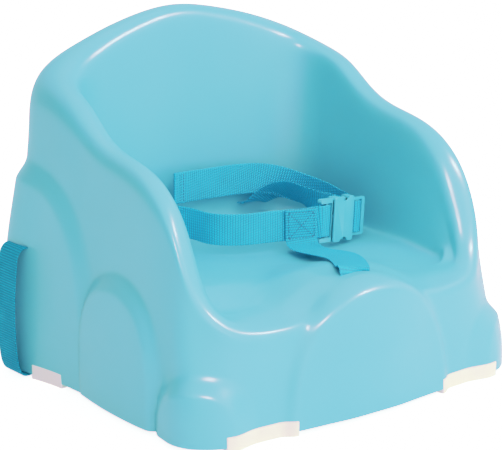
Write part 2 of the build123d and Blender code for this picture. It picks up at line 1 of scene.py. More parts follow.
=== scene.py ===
# A moulded child booster seat with waist, crotch and chair straps, their buckles and four
# non-slip pads. The seat stands on z = 0 with its front towards -Y, its back towards +Y, and
# the parts named "right" on the +X side. Geometry is worked out in millimetres and scaled to
# metres when each mesh is made.
import math
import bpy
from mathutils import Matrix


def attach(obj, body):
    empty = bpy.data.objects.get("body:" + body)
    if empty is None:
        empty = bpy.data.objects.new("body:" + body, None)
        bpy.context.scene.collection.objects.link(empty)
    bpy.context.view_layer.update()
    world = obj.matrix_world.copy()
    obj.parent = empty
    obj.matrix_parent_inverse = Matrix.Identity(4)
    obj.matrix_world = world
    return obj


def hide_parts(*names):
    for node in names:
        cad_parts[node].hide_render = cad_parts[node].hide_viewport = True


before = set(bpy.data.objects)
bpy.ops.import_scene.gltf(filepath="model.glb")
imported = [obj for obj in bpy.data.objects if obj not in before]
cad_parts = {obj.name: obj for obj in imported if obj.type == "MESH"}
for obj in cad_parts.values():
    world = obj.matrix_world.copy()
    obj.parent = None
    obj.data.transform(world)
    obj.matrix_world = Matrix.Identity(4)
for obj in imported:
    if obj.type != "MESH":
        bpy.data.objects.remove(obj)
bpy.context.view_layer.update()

from types import SimpleNamespace

import bmesh
import bpy
import numpy as np
from mathutils import Matrix, Vector

scene = bpy.context.scene
rng = np.random.default_rng(7)
MM = 0.001

# ---------------------------------------------------------------- driving dimensions (mm)
PAD_DROP = 4.5            # pads stand this far below the shell's bottom edge
Y_SHIFT = -3.9            # centres the outline front to back
WALL = 3.0                # wall of the moulded shell
SEAT_Z = 105.0            # seat floor above the shell's bottom edge
HUMP_RISE = 13.5          # raised middle of the seat front over the floor
TROUGH_DROP = 6.0         # thigh troughs under the floor
FLOOR_FILLET = 10.0       # tub corner between floor and walls
TUB_DRAFT = 9.0           # how far the tub narrows from rim to floor

WEBBING_W = 30.0
WEBBING_T = 1.4
RIB, CELL = 2.4, 1.6      # weave: rib pitch along the webbing, yarn pitch across it
RELIEF = 0.16             # height of the weave

PAD_H = 9.5               # pad height inside the shell's wall
PAD_GAP = 0.3             # clearance of the pad recess
PAD_ROUND = 1.1           # rounding of the pad's edges
FRONT_PAD = (84.5, 158.0)     # x range
REAR_PAD = (72.0, 111.5)      # y range, before Y_SHIFT

# Slots for the webbing: middle in the shell's own frame, before Y_SHIFT and PAD_DROP
WAIST_X = 74.0
CHAIR_Y = 130.0
WAIST_SLOT = (WAIST_X, 116.0, 122.0)
CHAIR_SLOT = (175.0, CHAIR_Y, 118.8)
CROTCH_SLOT = (0.0, -121.0, 100.0)
SLOT_W = WEBBING_W + 4

# Stations round half of the rim, from the middle of the front to the middle of the back:
# rim x, y, z; inner roll radius; foot flare; 1 = open lip, 0 = walled; centre-line y of the
# section; outer roll radius; bow of the outer wall
STATIONS = np.array([
    [0, -134, 119, 14, 13.5, 1.0, -44, 14, 0],
    [25, -134, 115, 13, 13.5, 1.0, -43.5, 13, 0],
    [42, -133, 107.5, 12, 13.5, 1.0, -43, 12, 0],
    [56, -132, 99, 10.5, 14, 1.0, -42, 10.5, 0],
    [70, -131, 94, 9.5, 14.5, 1.0, -41, 9.5, 0],
    [98, -128.5, 92, 9, 15.5, 1.0, -38, 9, 0],
    [124, -124.5, 95, 9, 18.5, 1.0, -34, 9, 1],
    [141, -117, 103, 9.5, 23, 0.6, -30, 10, 3],
    [151, -106, 120, 10, 26, 0.1, -26, 12, 5],
    [155.5, -96, 143, 11, 25, 0.0, -23, 14, 5],
    [157.5, -83, 172, 12, 21, 0.0, -20, 14, 4],
    [158, -63, 198, 13, 18.5, 0.0, -15, 14, 3],
    [157.5, -34, 215, 13, 16, 0.0, -7, 14, 2],
    [157, -4, 222, 13, 14, 0.0, 2, 13, 2],
    [156.5, 24, 229, 13, 13, 0.0, 11, 13, 2],
    [156, 45, 240, 13, 13, 0.0, 19, 13, 2],
    [154.5, 70, 257, 13, 14.5, 0.0, 27, 16, 1],
    [150, 96, 268, 13, 26, 0.0, 35, 21.5, 1],
    [134, 118.5, 280, 13, 46.0, 0.0, 42, 32, 7],
    [98, 133, 297, 13, 27, 0.0, 48, 20, 3],
    [50, 140, 311, 13, 17, 0.0, 51, 15, 1],
    [0, 142, 318, 13, 14, 0.0, 52, 14, 0],
], float)

# Arch-shaped bulges of the skirt: a point on the rim above the arch, half width, height,
# exponents of the outline across and up, flank height, crown, flank width
ARCHES = [
    dict(at=(0, -134), half=81.5, height=121.0, across=2.0, up=2.6,
         step=6.0, crown=3.0, flank=18.0),
    dict(at=(150, -108), half=44.0, height=54.0, across=2.2, up=2.6,
         step=8.0, crown=4.0, flank=19.0),
    dict(at=(158, -12), half=58.5, height=119.0, across=2.0, up=3.6,
         step=8.5, crown=6.5, flank=17.0),
    dict(at=(140, 113), half=92.0, height=190.0, across=2.4, up=2.6,
         step=7.5, crown=4.0, flank=22.0),
]


# ---------------------------------------------------------------- small maths
def cubic(x, y, xq):
    """Natural cubic spline through the rows of y at x, read at xq."""
    n = len(x)
    h = np.diff(x)
    a = np.zeros((n, n))
    a[0, 0] = a[-1, -1] = 1
    for i in range(1, n - 1):
        a[i, i - 1], a[i, i], a[i, i + 1] = h[i - 1], 2 * (h[i - 1] + h[i]), h[i]
    b = np.zeros_like(y)
    b[1:-1] = 3 * ((y[2:] - y[1:-1]) / h[1:, None] - (y[1:-1] - y[:-2]) / h[:-1, None])
    c = np.linalg.solve(a, b)
    slope = (y[1:] - y[:-1]) / h[:, None] - h[:, None] * (2 * c[:-1] + c[1:]) / 3
    d = (c[1:] - c[:-1]) / (3 * h[:, None])
    k = np.clip(np.searchsorted(x, xq) - 1, 0, n - 2)
    dx = (xq - x[k])[:, None]
    return y[k] + slope[k] * dx + c[k] * dx ** 2 + d[k] * dx ** 3


def ease(start, end, x):
    t = np.clip((x - start) / (end - start), 0, 1)
    return t * t * (3 - 2 * t)


def arc_length(points):
    return np.r_[0, np.cumsum(np.linalg.norm(np.diff(points, axis=0), axis=1))]


def sample(where, x, table):
    """The columns of table, given at x, read at where by straight interpolation."""
    return np.stack([np.interp(where, x, column) for column in table.T], -1)


def at(x, y, z):
    """A point of the shell's own frame in the seat's frame."""
    return np.array([x, y + Y_SHIFT, z + PAD_DROP], float)


def unit(v):
    v = np.asarray(v, float)
    return v / np.maximum(np.linalg.norm(v, axis=-1, keepdims=True), 1e-12)


# ---------------------------------------------------------------- shape of the shell
def seat_height(x, y):
    """Seat floor over the shell's bottom edge: flat, with a hump and two thigh troughs."""
    side = np.abs(x)
    hump = HUMP_RISE * (1 - ease(24, 88, side)) * (1 - ease(-92, -25, y))
    trough = (TROUGH_DROP * ease(30, 85, side) * (1 - 0.6 * ease(128, 160, side))
              * (1 - ease(-95, -35, y)))
    return SEAT_Z + hump - trough


def rim_curve():
    """Dense rim: arc length in plan and the station columns, mirrored at both ends."""
    before, after = STATIONS[1:4][::-1].copy(), STATIONS[-4:-1][::-1].copy()
    before[:, 0] *= -1
    after[:, 0] *= -1
    full = np.vstack([before, STATIONS, after])
    d = arc_length(full[:, :2])
    dense = cubic(d, full, np.linspace(d[3], d[2 + len(STATIONS)], 1201))
    dense[0, 0] = dense[-1, 0] = 0
    return arc_length(dense[:, :2]), dense


def rim_sections(count):
    """Section planes at equal steps round half of the rim, and the station values there."""
    arc, dense = rim_curve()
    along = np.linspace(0, arc[-1], count)
    columns = sample(along, arc, dense)
    tangent = sample(along, arc, np.gradient(dense[:, :2], axis=0))
    tangent[0], tangent[-1] = (1, 0), (-1, 0)
    tangent = unit(tangent)
    normal = np.stack([tangent[:, 1], -tangent[:, 0]], 1)
    rim = columns[:, :2]
    spokes = rim - np.stack([0 * along, columns[:, 6]], 1)
    out = unit(spokes)
    centres = [arc[np.argmin(((dense[:, :2] - arch["at"]) ** 2).sum(1))] for arch in ARCHES]
    return SimpleNamespace(
        along=along, length=arc[-1], centres=centres, rim=rim, out=out,
        reach=np.linalg.norm(spokes, axis=1),
        # sections that cross the rim at a slant are stretched to keep their true thickness
        skew=1 / np.clip((out * normal).sum(1), 0.55, 1),
        rim_z=columns[:, 2], inner_roll=columns[:, 3], flare=columns[:, 4],
        lip=np.clip(columns[:, 5], 0, 1), outer_roll=columns[:, 7], bow=columns[:, 8])


def arch_push(sec, z):
    """How far the arches push the skirt out at the sections and heights z."""
    along = sec.along[:, None]
    push = np.zeros(z.shape)
    for arch, centre in zip(ARCHES, sec.centres):
        half, height, p, q = arch["half"], arch["height"], arch["across"], arch["up"]
        for mirrored in (centre, -centre, 2 * sec.length - centre):
            across = np.abs(along - mirrored) / half
            up = np.maximum(z, 0) / height
            inside = 1 - across ** p - up ** q
            grad_x = p * across ** (p - 1) / half
            grad_z = q * up ** (q - 1) / height
            depth = inside / np.maximum(np.sqrt(grad_x ** 2 + grad_z ** 2), 0.25 / half)
            bulge = arch["step"] * ease(-0.35 * arch["flank"], 0.65 * arch["flank"], depth)
            bulge = bulge + arch["crown"] * np.clip(inside, 0, 1) * (1 - 0.3 * up)
            push = np.maximum(push, bulge)
    return push


def control_lines(sec):
    """Control points of each section, (outward, height), from the foot to the centre line."""
    rim_z, r_in, r_out = sec.rim_z, sec.inner_roll, sec.outer_roll

    def point(offset, height):
        return np.stack([offset * sec.skew, height], 1)

    def floor_below(distance):
        xy = sec.rim + sec.out * distance[:, None]
        return seat_height(xy[:, 0], xy[:, 1])

    def floor_at(offset):
        return floor_below(offset * sec.skew)

    # skirt and outer roll, up to the crest of the rim
    full = 1.03               # widens the rolls, since the spline cuts inside its control points
    points = [point(sec.flare, 0 * rim_z)]
    top = rim_z - 2.6 * r_out
    for f in (0.06, 0.3, 0.6, 0.85):
        offset = (sec.flare * (1 - f) + full * r_out * f + sec.bow * 4 * f * (1 - f)
                  + 0.9 * np.sin(np.pi * f))
        points.append(point(offset, top * f))
    points.append(point(full * r_out + sec.bow * 0.1, rim_z - 1.75 * r_out))
    points.append(point(full * r_out * 1.02, rim_z - 0.95 * r_out))
    points.append(point(0.80 * r_out, rim_z - 0.16 * r_out))
    points.append(point(0, rim_z + 0.16 * r_in))

    # walled section: inner roll, tub wall, fillet into the floor
    wall_foot = -1.05 * r_in - TUB_DRAFT
    foot = floor_at(wall_foot - FLOOR_FILLET)
    tall = np.maximum(rim_z - foot, 1.0)
    roll = np.minimum(r_in, 0.28 * tall)
    fillet = np.minimum(FLOOR_FILLET, 0.35 * tall)
    base = foot + 0.95 * fillet
    walled = [point(-0.80 * r_in, rim_z - 0.16 * roll),
              point(-1.02 * full * r_in, rim_z - 0.95 * roll)]
    for f in (0.1, 0.38, 0.7):
        walled.append(point(-1.04 * r_in - TUB_DRAFT * f * 0.9,
                            (rim_z - 1.8 * roll) * (1 - f) + base * f))
    walled.append(point(wall_foot, base))
    walled.append(point(wall_foot - 0.18 * FLOOR_FILLET, foot + 0.22 * fillet))
    end = wall_foot - 0.95 * FLOOR_FILLET
    walled.append(point(end, floor_at(end) + 0.02 * fillet))

    # open section: distance inwards from the rim, share of the way down to the floor
    opened = []
    for inward, f in ((4.0, 0.28), (8.5, 0.56), (13.0, 0.77), (18.0, 0.92),
                      (24.0, 1.0), (31.0, 1.0), (39.0, 1.0), (48.0, 1.0)):
        height = (rim_z + 0.16 * r_in) * (1 - f) + floor_at(-inward) * f
        opened.append(point(-inward, height))
    lip = sec.lip[:, None]
    points += [a * lip + b * (1 - lip) for a, b in zip(opened, walled)]

    # floor, on to the centre line
    last = points[-1][:, 0]
    for f in (0.2, 0.45, 0.72, 1.0):
        offset = last * (1 - f) - sec.reach * f
        points.append(np.stack([offset, floor_below(offset)], 1))
    return np.stack(points, 1)


def shell_sections(count, fractions):
    """Sections with their outer lines at fractions of the way in, and the arches' push."""
    sec = rim_sections(count)
    control = control_lines(sec)

    # cubic B-spline over the control line, with its end points tripled
    c = np.concatenate([control[:, :1]] * 2 + [control] + [control[:, -1:]] * 2, axis=1)
    spans = c.shape[1] - 3
    t = fractions * spans
    i = np.minimum(t.astype(int), spans - 1)
    f = (t - i)[:, None]
    line = (c[:, i] * (1 - f) ** 3 + c[:, i + 1] * (3 * f ** 3 - 6 * f ** 2 + 4)
            + c[:, i + 2] * (3 * f ** 2 + 3 * f + 1 - 3 * f ** 3) + c[:, i + 3] * f ** 3) / 6

    crest = 10 / spans
    fade = 1 - ease(crest * 0.80, crest, t / spans)[None, :]
    push = arch_push(sec, line[..., 1]) * fade * np.sqrt(sec.skew)[:, None]
    return sec, line, push


def inner_line(line):
    """The section line moved inwards by the wall thickness, flat at the skirt's foot."""
    d = np.gradient(line, axis=0)
    d /= np.linalg.norm(d, axis=1)[:, None]
    inner = line + WALL * np.stack([-d[:, 1], d[:, 0]], 1)
    inner[0] = line[0] - (WALL, 0)
    inner[-1] = line[-1] - (0, WALL)
    return inner


# ---------------------------------------------------------------- node materials
def srgb(colour, level=1.0):
    """Linear RGBA of an 8-bit sRGB colour, scaled by level."""
    linear = []
    for c in colour:
        c /= 255.0
        linear.append((c / 12.92 if c <= 0.04045 else ((c + 0.055) / 1.055) ** 2.4) * level)
    return (*linear, 1.0)


class Nodes:
    """A material with a Principled shader, and short calls for adding nodes to it."""

    def __init__(self, name):
        self.mat = bpy.data.materials.new(name)
        self.mat.use_nodes = True
        self.tree = self.mat.node_tree
        self.tree.nodes.clear()
        output = self.new("ShaderNodeOutputMaterial")
        self.bsdf = self.new("ShaderNodeBsdfPrincipled")
        self.link(self.bsdf.outputs[0], output.inputs[0])

    def new(self, kind):
        return self.tree.nodes.new(kind)

    def link(self, source, target):
        self.tree.links.new(source, target)

    def feed(self, socket, value):
        if isinstance(value, bpy.types.NodeSocket):
            self.link(value, socket)
        else:
            socket.default_value = value

    def math(self, operation, a, b=0.0):
        node = self.new("ShaderNodeMath")
        node.operation = operation
        self.feed(node.inputs[0], a)
        self.feed(node.inputs[1], b)
        return node.outputs[0]

    def noise(self, vector, scale, detail, rough=0.5):
        node = self.new("ShaderNodeTexNoise")
        self.link(vector, node.inputs["Vector"])
        node.inputs["Scale"].default_value = scale
        node.inputs["Detail"].default_value = detail
        node.inputs["Roughness"].default_value = rough
        return node.outputs["Fac"]

    def ramp(self, value, span, to=(0.0, 1.0)):
        """Maps the range span of value onto the range to."""
        node = self.new("ShaderNodeMapRange")
        self.feed(node.inputs["Value"], value)
        node.inputs["From Min"].default_value = span[0]
        node.inputs["From Max"].default_value = span[1]
        node.inputs["To Min"].default_value = to[0]
        node.inputs["To Max"].default_value = to[1]
        return node.outputs["Result"]

    def mix(self, fac, a, b):
        node = self.new("ShaderNodeMix")
        node.data_type = "RGBA"
        self.feed(node.inputs[0], fac)
        self.feed(node.inputs[6], a)
        self.feed(node.inputs[7], b)
        return node.outputs[2]

    def bump(self, height, strength, distance, under=None):
        node = self.new("ShaderNodeBump")
        node.inputs["Strength"].default_value = strength
        node.inputs["Distance"].default_value = distance
        self.link(height, node.inputs["Height"])
        if under is not None:
            self.link(under, node.inputs["Normal"])
        return node.outputs["Normal"]

    def where(self, which="Object"):
        return self.new("ShaderNodeTexCoord").outputs[which]

    def pointiness(self):
        return self.new("ShaderNodeNewGeometry").outputs["Pointiness"]

    def set(self, **values):
        """Feeds inputs of the Principled shader; _ stands for a space in their names."""
        for name, value in values.items():
            self.feed(self.bsdf.inputs[name.replace("_", " ")], value)


def shell_material():
    light_edge = srgb((130, 205, 218))
    m = Nodes("shell_plastic")
    p = m.where()
    broad = m.noise(p, scale=9.0, detail=2.0)
    fine = m.noise(p, scale=1400.0, detail=2.0, rough=0.6)
    wave = m.noise(p, scale=55.0, detail=2.0)
    colour = m.mix(m.ramp(broad, span=(0.35, 0.65)), srgb((94, 187, 203)), srgb((100, 191, 206)))
    edge = m.ramp(m.pointiness(), span=(0.50, 0.56), to=(0.0, 0.35))
    colour = m.mix(edge, colour, light_edge)
    speck = m.ramp(m.noise(p, scale=420.0, detail=1.0), span=(0.70, 0.78), to=(0.0, 0.10))
    colour = m.mix(speck, colour, light_edge)
    rough = m.math("ADD", m.ramp(wave, span=(0.3, 0.7), to=(0.44, 0.50)),
                   m.ramp(fine, span=(0.3, 0.7), to=(-0.02, 0.03)))
    m.set(Base_Color=colour, Roughness=rough, IOR=1.5, Specular_IOR_Level=0.55)
    m.set(Coat_Weight=0.45, Coat_Roughness=0.21, Coat_IOR=1.5)
    m.set(Subsurface_Weight=0.12, Subsurface_Radius=(0.006, 0.012, 0.014), Subsurface_Scale=0.6)
    normal = m.bump(wave, strength=0.10, distance=0.0006)
    m.set(Normal=m.bump(fine, strength=0.16, distance=0.00008, under=normal))
    return m.mat


def weave_nodes(m, along, across):
    """Ribs across the webbing, with yarns staggered from rib to rib; inputs in mm."""
    def arch(cycles):
        """1 in the middle of each cycle, falling to 0 at its ends."""
        f = m.math("SUBTRACT", m.math("MULTIPLY", m.math("FRACT", cycles), 2.0), 1.0)
        return m.math("SUBTRACT", 1.0, m.math("MULTIPLY", f, f))

    ribs = m.math("DIVIDE", along, RIB)
    index = m.math("FLOOR", ribs)
    rib = arch(ribs)
    odd = m.math("MODULO", m.math("ABSOLUTE", index), 2.0)
    stagger = m.math("MULTIPLY", odd, 0.5)
    yarn = arch(m.math("ADD", m.math("DIVIDE", across, CELL), stagger))
    return m.math("MULTIPLY", m.math("POWER", rib, 0.6), m.math("POWER", yarn, 0.8))


def webbing_material(name, level, shine):
    """Woven webbing; level scales the colours, shine the specular light and the sheen. A level
    below 1 gives a darker copy: painted shade.
    """
    dark = srgb((0, 76, 118), level)
    m = Nodes(name)
    uv = m.where("UV")
    split = m.new("ShaderNodeSeparateXYZ")
    m.link(uv, split.inputs[0])
    along = m.math("MULTIPLY", split.outputs[0], 1 / MM)
    across = m.math("MULTIPLY", split.outputs[1], 1 / MM)
    weave = weave_nodes(m, along, across)
    broad = m.noise(m.where(), scale=40.0, detail=3.0)
    strand = m.noise(uv, scale=2600.0, detail=2.0, rough=0.7)
    # colour follows the weave's height: painted shade in its hollows, painted highlight on the
    # yarn crests
    colour = m.mix(m.math("POWER", weave, 1.0), dark, srgb((20, 214, 254), level))
    # small lighter spots from the strand noise: painted glints on the yarns
    painted_glint = m.ramp(strand, span=(0.35, 0.75), to=(0.0, 0.35))
    colour = m.mix(painted_glint, colour, srgb((104, 236, 254), level))
    colour = m.mix(m.ramp(broad, span=(0.3, 0.7), to=(0.0, 0.16)), colour, dark)
    m.set(Base_Color=colour, Roughness=m.ramp(strand, span=(0.2, 0.8), to=(0.50, 0.66)), IOR=1.5)
    m.set(Specular_IOR_Level=0.35 * shine, Sheen_Weight=0.12 * shine, Sheen_Roughness=0.5,
          Sheen_Tint=srgb((150, 220, 245)))
    normal = m.bump(weave, strength=1.0, distance=0.0005)
    m.set(Normal=m.bump(strand, strength=0.35, distance=0.00008, under=normal))
    return m.mat


def thread_material():
    m = Nodes("sewing_thread")
    wave = m.new("ShaderNodeTexWave")
    m.link(m.where(), wave.inputs["Vector"])
    wave.inputs["Scale"].default_value = 900.0
    wave.inputs["Distortion"].default_value = 1.0
    twist = wave.outputs["Fac"]
    # thread colours far darker than the webbing: painted shade of the sewn grooves
    colour = m.mix(twist, srgb((0, 74, 104)), srgb((4, 104, 140)))
    m.set(Base_Color=colour, Roughness=0.45, Sheen_Weight=0.2)
    m.set(Normal=m.bump(twist, strength=0.5, distance=0.0001))
    return m.mat


def buckle_material():
    m = Nodes("buckle_plastic")
    p = m.where()
    broad = m.noise(p, scale=60.0, detail=2.0)
    fine = m.noise(p, scale=2600.0, detail=2.0, rough=0.6)
    # convex edges painted a lighter blue: painted highlight along the buckle's edges
    edge = m.ramp(m.pointiness(), span=(0.51, 0.60), to=(0.0, 0.5))
    colour = m.mix(m.ramp(broad, span=(0.35, 0.65)), srgb((82, 184, 203)), srgb((88, 188, 206)))
    colour = m.mix(edge, colour, srgb((130, 210, 224)))
    m.set(Base_Color=colour, Roughness=m.ramp(fine, span=(0.3, 0.7), to=(0.26, 0.36)), IOR=1.5)
    m.set(Subsurface_Weight=0.08, Subsurface_Radius=(0.003, 0.006, 0.007), Subsurface_Scale=0.4)
    m.set(Normal=m.bump(fine, strength=0.25, distance=0.00006))
    return m.mat


def rubber_material():
    m = Nodes("pad_rubber")
    p = m.where()
    broad = m.noise(p, scale=45.0, detail=3.0)
    fine = m.noise(p, scale=1500.0, detail=3.0, rough=0.65)
    scuff = m.ramp(m.noise(p, scale=160.0, detail=4.0, rough=0.7),
                   span=(0.62, 0.80), to=(0.0, 0.35))
    colour = m.mix(m.ramp(broad, span=(0.3, 0.7)), srgb((254, 249, 222)), srgb((255, 251, 230)))
    colour = m.mix(scuff, colour, srgb((238, 230, 202)))
    m.set(Base_Color=colour, Roughness=m.ramp(fine, span=(0.2, 0.8), to=(0.52, 0.70)), IOR=1.45)
    m.set(Subsurface_Weight=0.10, Subsurface_Radius=(0.004, 0.004, 0.003), Subsurface_Scale=0.5)
    m.set(Normal=m.bump(fine, strength=0.3, distance=0.00012))
    return m.mat


mat_shell = shell_material()
mat_web = webbing_material("webbing", level=1.0, shine=1.0)
# copy for the chair straps, with colours at 0.74 and little shine: painted shade of the shaded
# straps
mat_web_painted_shade = webbing_material("webbing_painted_shade", level=0.74, shine=0.15)
mat_thread = thread_material()
mat_buckle = buckle_material()
mat_pad = rubber_material()


# ---------------------------------------------------------------- mesh helpers
def add_object(name, data):
    o = bpy.data.objects.new(name, data)
    scene.collection.objects.link(o)
    return o


def make_mesh(name, verts_mm, faces, material, smooth, uv=None, merge=None):
    """A mesh object from points in mm; faces is a list of index arrays, one face per row.

    Edges sharper than smooth degrees stay sharp; uv (mm) has a row for each vertex."""
    me = bpy.data.meshes.new(name)
    verts = np.asarray(verts_mm, float) * MM
    loops = np.concatenate([a.ravel() for a in faces])
    sizes = np.concatenate([np.full(len(a), a.shape[1]) for a in faces])
    me.vertices.add(len(verts))
    me.vertices.foreach_set("co", verts.astype(np.float32).ravel())
    me.loops.add(len(loops))
    me.loops.foreach_set("vertex_index", loops.astype(np.int32))
    me.polygons.add(len(sizes))
    starts = np.r_[0, np.cumsum(sizes)[:-1]]
    me.polygons.foreach_set("loop_start", starts.astype(np.int32))
    me.polygons.foreach_set("loop_total", sizes.astype(np.int32))
    if uv is not None:
        layer = me.uv_layers.new(name="UVMap")
        layer.data.foreach_set("uv", (uv[loops] * MM).astype(np.float32).ravel())
    me.update(calc_edges=True)
    me.validate()
    o = add_object(name, me)
    if merge is not None:
        bm = bmesh.new()
        bm.from_mesh(me)
        bmesh.ops.remove_doubles(bm, verts=bm.verts, dist=merge * MM)
        bmesh.ops.dissolve_degenerate(bm, dist=1e-7, edges=bm.edges)
        bmesh.ops.recalc_face_normals(bm, faces=bm.faces)
        bm.to_mesh(me)
        bm.free()
    finish_shading(o, smooth)
    me.materials.append(material)
    return o


def finish_shading(o, smooth):
    me = o.data
    me.polygons.foreach_set("use_smooth", np.ones(len(me.polygons), bool))
    if smooth < 180:
        me.set_sharp_from_angle(angle=math.radians(smooth))
    me.update()


def bake(o):
    """Applies all the object's modifiers."""
    graph = bpy.context.evaluated_depsgraph_get()
    me = bpy.data.meshes.new_from_object(o.evaluated_get(graph), preserve_all_data_layers=True,
                                         depsgraph=graph)
    old = o.data
    o.modifiers.clear()
    o.data = me
    me.name = o.name
    bpy.data.meshes.remove(old)


def grid_faces(rows, cols, closed=False, start=0):
    """Quads between rows of vertices; closed joins the last column to the first."""
    r = np.arange(rows - 1)[:, None]
    c = np.arange(cols if closed else cols - 1)[None, :]
    n = (c + 1) % cols
    quads = [r * cols + c, r * cols + n, (r + 1) * cols + n, (r + 1) * cols + c]
    return np.stack(quads, -1).reshape(-1, 4) + start


def place(o, body, node=None):
    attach(o, body)
    if node:
        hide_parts(node)


def prism(outline, base, x_axis, y_axis, depth):
    """A closed prism on a 2-D outline: depth[0] behind and depth[1] ahead along x cross y."""
    x_axis, y_axis = np.array(x_axis, float), np.array(y_axis, float)
    normal = np.cross(x_axis, y_axis)
    p = np.asarray(base, float) + outline[:, :1] * x_axis + outline[:, 1:] * y_axis
    k = len(p)
    i = np.arange(k)
    n = (i + 1) % k
    verts = np.vstack([p - normal * depth[0], p + normal * depth[1]])
    sides = np.stack([i, n, n + k, i + k], 1)
    caps = np.array([i[::-1], i + k])
    return verts, sides, caps


def rounded_rect(w, h, r, n=8):
    """Outline of w by h with n points on each corner of radius r."""
    outline = []
    for sx, sy, start in ((1, 1, 0), (-1, 1, 90), (-1, -1, 180), (1, -1, 270)):
        cx, cy = sx * (w / 2 - r), sy * (h / 2 - r)
        for a in np.radians(np.linspace(start, start + 90, n)):
            outline.append((cx + r * math.cos(a), cy + r * math.sin(a)))
    return np.array(outline)


# ---------------------------------------------------------------- seat shell
def foot_line():
    """The outer edge of the shell's foot in plan, from the middle front to the middle back."""
    sec, line, push = shell_sections(801, np.zeros(1))
    return sec.rim + sec.out * (line[:, 0, 0] + push[:, 0])[:, None]


foot_outline = foot_line()


def foot_run(axis, ends, count, offset):
    """Points beside the foot line, offset outwards, evenly spaced in x (axis 0) or y (axis 1)."""
    # the front part of the outline has one y for each x, the side part one x for each y
    span = foot_outline[:400] if axis == 0 else foot_outline[300:660]
    order = np.argsort(span[:, axis])
    v = np.linspace(*ends, count)
    other = np.interp(v, span[order, axis], span[order, 1 - axis])
    p = np.stack([v, other] if axis == 0 else [other, v], 1)
    t = unit(np.gradient(p, axis=0))
    return p + np.stack([t[:, 1], -t[:, 0]], 1) * offset + (0, Y_SHIFT)


def shell_cutter():
    """Prisms for the webbing slots and the pad recesses, as one mesh."""
    prisms = []
    upright_slot = rounded_rect(SLOT_W, 6.0, 2.6)
    for sx in (1, -1):
        mirror = np.array((sx, 1, 1))
        prisms.append(prism(upright_slot, at(*WAIST_SLOT * mirror), (1, 0, 0), (0, 0, 1),
                            depth=(14, 14)))
        prisms.append(prism(upright_slot, at(*CHAIR_SLOT * mirror), (0, 1, 0), (0, 0, 1),
                            depth=(30, 30)))
        for axis, (low, high) in enumerate((FRONT_PAD, REAR_PAD)):
            ends = (low - PAD_GAP, high + PAD_GAP)
            outline = np.vstack([foot_run(axis, ends, 24, 9.0),
                                 foot_run(axis, ends, 24, -14.0)[::-1]]) * (sx, 1)
            prisms.append(prism(outline, (0, 0, PAD_DROP - 2), (1, 0, 0), (0, 1, 0),
                                depth=(0, PAD_H + PAD_GAP + 2)))
    prisms.append(prism(rounded_rect(SLOT_W, 5.0, 2.4), at(*CROTCH_SLOT), (1, 0, 0), (0, 1, 0),
                        depth=(0, 40)))
    sides, caps, start = [], [], 0
    for verts, side, cap in prisms:
        sides.append(side + start)
        caps.append(cap + start)
        start += len(verts)
    caps.sort(key=lambda cap: cap.shape[1])
    return make_mesh("cutter", np.vstack([p[0] for p in prisms]), sides + caps, mat_shell,
                     smooth=40, merge=0.0001)


def build_shell():
    sections = 260
    line_points = 300
    sec, line, push = shell_sections(sections, np.linspace(0, 1, line_points))
    outer = line.copy()
    inner = np.stack([inner_line(one) for one in line])
    outer[..., 0] += push
    inner[..., 0] += push
    inner = inner[:, np.r_[0:line_points:2, line_points - 1]]

    def surface(lines):
        """Rows along the sections, columns right round the rim."""
        x = sec.rim[:, None, 0] + sec.out[:, None, 0] * lines[..., 0]
        y = sec.rim[:, None, 1] + sec.out[:, None, 1] * lines[..., 0] + Y_SHIFT
        right = np.stack([x, y, lines[..., 1] + PAD_DROP], -1)
        right[0, :, 0] = right[-1, :, 0] = 0
        left = right[1:-1][::-1] * (-1, 1, 1)
        return np.concatenate([right, left], 0).transpose(1, 0, 2)

    outside, inside = surface(outer), surface(inner)
    rows, cols = outside.shape[:2]
    first_inside = rows * cols
    c = np.arange(cols)
    n = (c + 1) % cols
    foot_ring = np.stack([n, c, c + first_inside, n + first_inside], 1)
    faces = [grid_faces(rows, cols, True),
             grid_faces(inside.shape[0], cols, True, first_inside)[:, ::-1], foot_ring]
    o = make_mesh("seat_shell_body",
                  np.concatenate([outside.reshape(-1, 3), inside.reshape(-1, 3)]),
                  faces, mat_shell, smooth=180, merge=0.02)
    cutter = shell_cutter()
    cut = o.modifiers.new("cut", "BOOLEAN")
    cut.operation = "DIFFERENCE"
    cut.object = cutter
    # guards against a Blender without the manifold solver
    try:
        cut.solver = "MANIFOLD"
    except TypeError:
        cut.solver = "EXACT"
    bake(o)
    bpy.data.objects.remove(cutter)
    finish_shading(o, smooth=42)
    place(o, "seat", "seat_shell")


build_shell()


